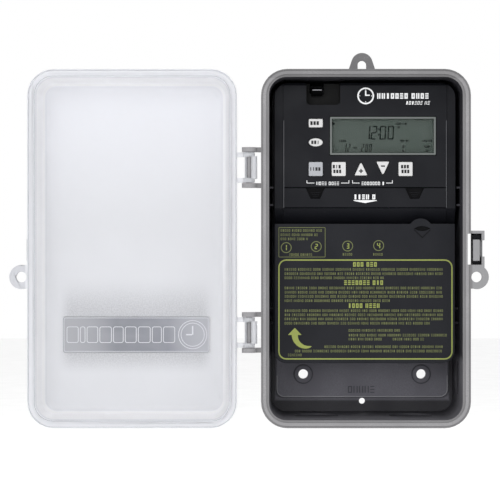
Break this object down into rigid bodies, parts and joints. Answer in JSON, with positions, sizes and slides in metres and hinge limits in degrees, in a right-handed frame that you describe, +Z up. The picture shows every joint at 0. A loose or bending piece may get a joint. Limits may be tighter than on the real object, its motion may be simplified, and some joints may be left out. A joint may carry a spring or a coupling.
{
  "type": "irrigation controller",
  "caption": "Wall-mounted electronic controller in a grey weatherproof box with a frosted cover open flat, a display, keys, a battery drawer and a hinged terminal shield.",
  "frame": {"origin": "middle of the enclosure's flat back, on the wall plane", "axes": "+Z up, +Y into the wall, front towards -Y, +X towards the padlock ear; the cover lies open towards -X"},
  "size_m": [0.2998, 0.0657, 0.239],
  "materials": {
    "grey_enclosure": "fine moulded grain, satin",
    "frosted_cover": "frosted clear, smooth outside",
    "black_housing": "satin black with a fine grain",
    "black_shield": "satin black, printed olive",
    "key_mat_rubber": "matt",
    "white_key": "satin, printed",
    "grey_key": "satin, printed",
    "display_bezel": "satin grey",
    "display_window": "clear and polished",
    "liquid_crystal": "greenish grey with dark segments",
    "circuit_board": "solder mask green",
    "relay_case": "blue moulded case",
    "transformer_core": "laminated, varnished",
    "capacitor_sleeve": "shrunk sleeve",
    "plated_steel": "zinc plated",
    "brass_parts": "plain",
    "ground_green": "green passivated",
    "cell_jacket": null
  },
  "bodies": {
    "enclosure": {"enclosure_base": "grey_enclosure", "knockout_bottom_left": "grey_enclosure", "knockout_bottom_right": "grey_enclosure", "knockout_left": "grey_enclosure", "knockout_right": "grey_enclosure", "knockout_back": "grey_enclosure", "hinge_pin_upper": "grey_enclosure", "hinge_pin_lower": "grey_enclosure", "mechanism_housing": "black_housing", "mechanism_back": "black_housing", "terminal_block": "black_housing", "latch_carrier": "black_housing", "controller_chip": "black_housing", "keypad_mat": "key_mat_rubber", "lcd_bezel": "display_bezel", "lcd_window": "display_window", "lcd_panel": "liquid_crystal", "main_board": "circuit_board", "display_board": "circuit_board", "relay_1": "relay_case", "relay_2": "relay_case", "transformer": "transformer_core", "capacitor": "capacitor_sleeve", "latch_pin": "plated_steel", "release_pin": "plated_steel", "shield_pin": "plated_steel", "housing_screw_1": "plated_steel", "housing_screw_2": "plated_steel", "housing_screw_3": "plated_steel", "housing_screw_4": "plated_steel", "terminal_screw_1": "plated_steel", "terminal_screw_2": "plated_steel", "terminal_screw_3": "plated_steel", "terminal_screw_4": "plated_steel", "ground_bar": "brass_parts", "terminal_clamp_1": "brass_parts", "terminal_clamp_2": "brass_parts", "terminal_clamp_3": "brass_parts", "terminal_clamp_4": "brass_parts", "ground_screw": "ground_green"},
    "cover": {"cover": "frosted_cover"},
    "latch": {"latch_plate": "grey_enclosure"},
    "release": {"release_latch": "black_housing"},
    "shield": {"terminal_shield": "black_shield"},
    "drawer": {"battery_drawer": "black_housing", "battery_cell_left": "cell_jacket", "battery_cell_right": "cell_jacket", "battery_contact_left": "plated_steel", "battery_contact_middle": "plated_steel", "battery_contact_right": "plated_steel"},
    "key_mode": {"button_mode": "white_key"},
    "key_exit": {"button_exit": "white_key"},
    "key_reset": {"button_reset": "grey_key"},
    "key_enter": {"button_enter": "white_key"},
    "key_up": {"button_up": "white_key"},
    "key_down": {"button_down": "white_key"},
    "key_on_off": {"button_on_off": "white_key"}
  },
  "joints": [
    {"name": "cover_hinge", "type": "hinge", "parent": "enclosure", "child": "cover", "pos_m": [-0.0731, -0.06115, 0], "axis": [0, 0, 1], "range_deg": [0, 180]},
    {"name": "latch_flex", "type": "hinge", "parent": "enclosure", "child": "latch", "pos_m": [0.0696, -0.051, 0], "axis": [0, 0, -1], "range_deg": [-5, 0], "stiffness_Nm_per_rad": 0.5},
    {"name": "release_latch_flex", "type": "hinge", "parent": "enclosure", "child": "release", "pos_m": [-0.0302, -0.008, 0.1005], "axis": [1, 0, 0], "range_deg": [-4, 0], "stiffness_Nm_per_rad": 0.5},
    {"name": "shield_hinge", "type": "hinge", "parent": "enclosure", "child": "shield", "pos_m": [-0.053, -0.044, 0], "axis": [0, 0, 1], "range_deg": [-90, 0]},
    {"name": "drawer_slide", "type": "slide", "parent": "enclosure", "child": "drawer", "axis": [0, 1, 0], "range_m": [-0.013, 0]},
    {"name": "button_mode_press", "type": "slide", "parent": "enclosure", "child": "key_mode", "axis": [0, 1, 0], "range_m": [0, 0.001], "stiffness_N_per_m": 300},
    {"name": "button_exit_press", "type": "slide", "parent": "enclosure", "child": "key_exit", "axis": [0, 1, 0], "range_m": [0, 0.001], "stiffness_N_per_m": 300},
    {"name": "button_reset_press", "type": "slide", "parent": "enclosure", "child": "key_reset", "axis": [0, 1, 0], "range_m": [0, 0.001], "stiffness_N_per_m": 300},
    {"name": "button_enter_press", "type": "slide", "parent": "enclosure", "child": "key_enter", "axis": [0, 1, 0], "range_m": [0, 0.001], "stiffness_N_per_m": 300},
    {"name": "button_up_press", "type": "slide", "parent": "enclosure", "child": "key_up", "axis": [0, 1, 0], "range_m": [0, 0.001], "stiffness_N_per_m": 300},
    {"name": "button_down_press", "type": "slide", "parent": "enclosure", "child": "key_down", "axis": [0, 1, 0], "range_m": [0, 0.001], "stiffness_N_per_m": 300},
    {"name": "button_on_off_press", "type": "slide", "parent": "enclosure", "child": "key_on_off", "axis": [0, 1, 0], "range_m": [0, 0.001], "stiffness_N_per_m": 300}
  ]
}
